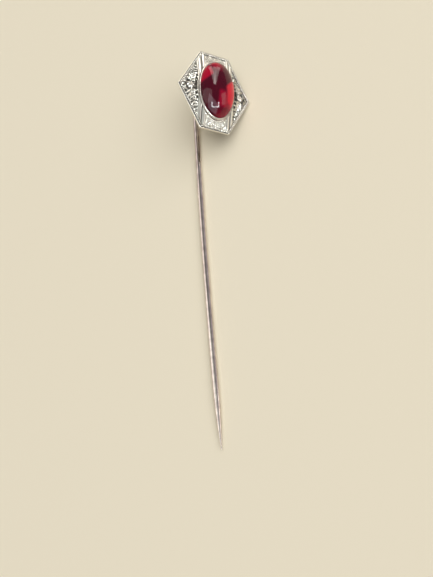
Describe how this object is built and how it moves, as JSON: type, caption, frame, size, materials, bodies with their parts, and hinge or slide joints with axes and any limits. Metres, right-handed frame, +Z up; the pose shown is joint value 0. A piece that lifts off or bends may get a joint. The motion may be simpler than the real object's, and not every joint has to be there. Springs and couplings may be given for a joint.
{
  "type": "stick pin",
  "caption": "Tie stick pin: a pierced, hexagonal white-metal head with reeded bands and beading round an oval red cabochon, on a long pointed stem that turns down behind the head.",
  "frame": {"origin": "on the floor, under the middle of the whole pin's bounding box", "axes": "+Y along the stem from its point to the head, +Z up from the floor the pin lies on, +X to the side the face leans towards"},
  "size_m": [0.01, 0.0636, 0.0097],
  "materials": {
    "struck_plate": "struck white metal, darker in the recesses",
    "beaded_wire": "bright",
    "reeded_band": "bright ribs, dark grooves",
    "bezel": "burnished",
    "seat": "unpolished",
    "stone": "polished, deep red, translucent",
    "back": "satin",
    "solder_cup": "satin",
    "stem_wire": "drawn and polished"
  },
  "bodies": {
    "root": {"front_plate": "struck_plate", "milgrain_border": "beaded_wire", "band_upper_left": "reeded_band", "band_upper_right": "reeded_band", "band_lower_left": "reeded_band", "band_lower_right": "reeded_band", "bezel": "bezel", "stone_seat": "seat", "cabochon": "stone", "back_disc": "back", "stem_socket": "solder_cup", "stem": "stem_wire"}
  },
  "joints": []
}
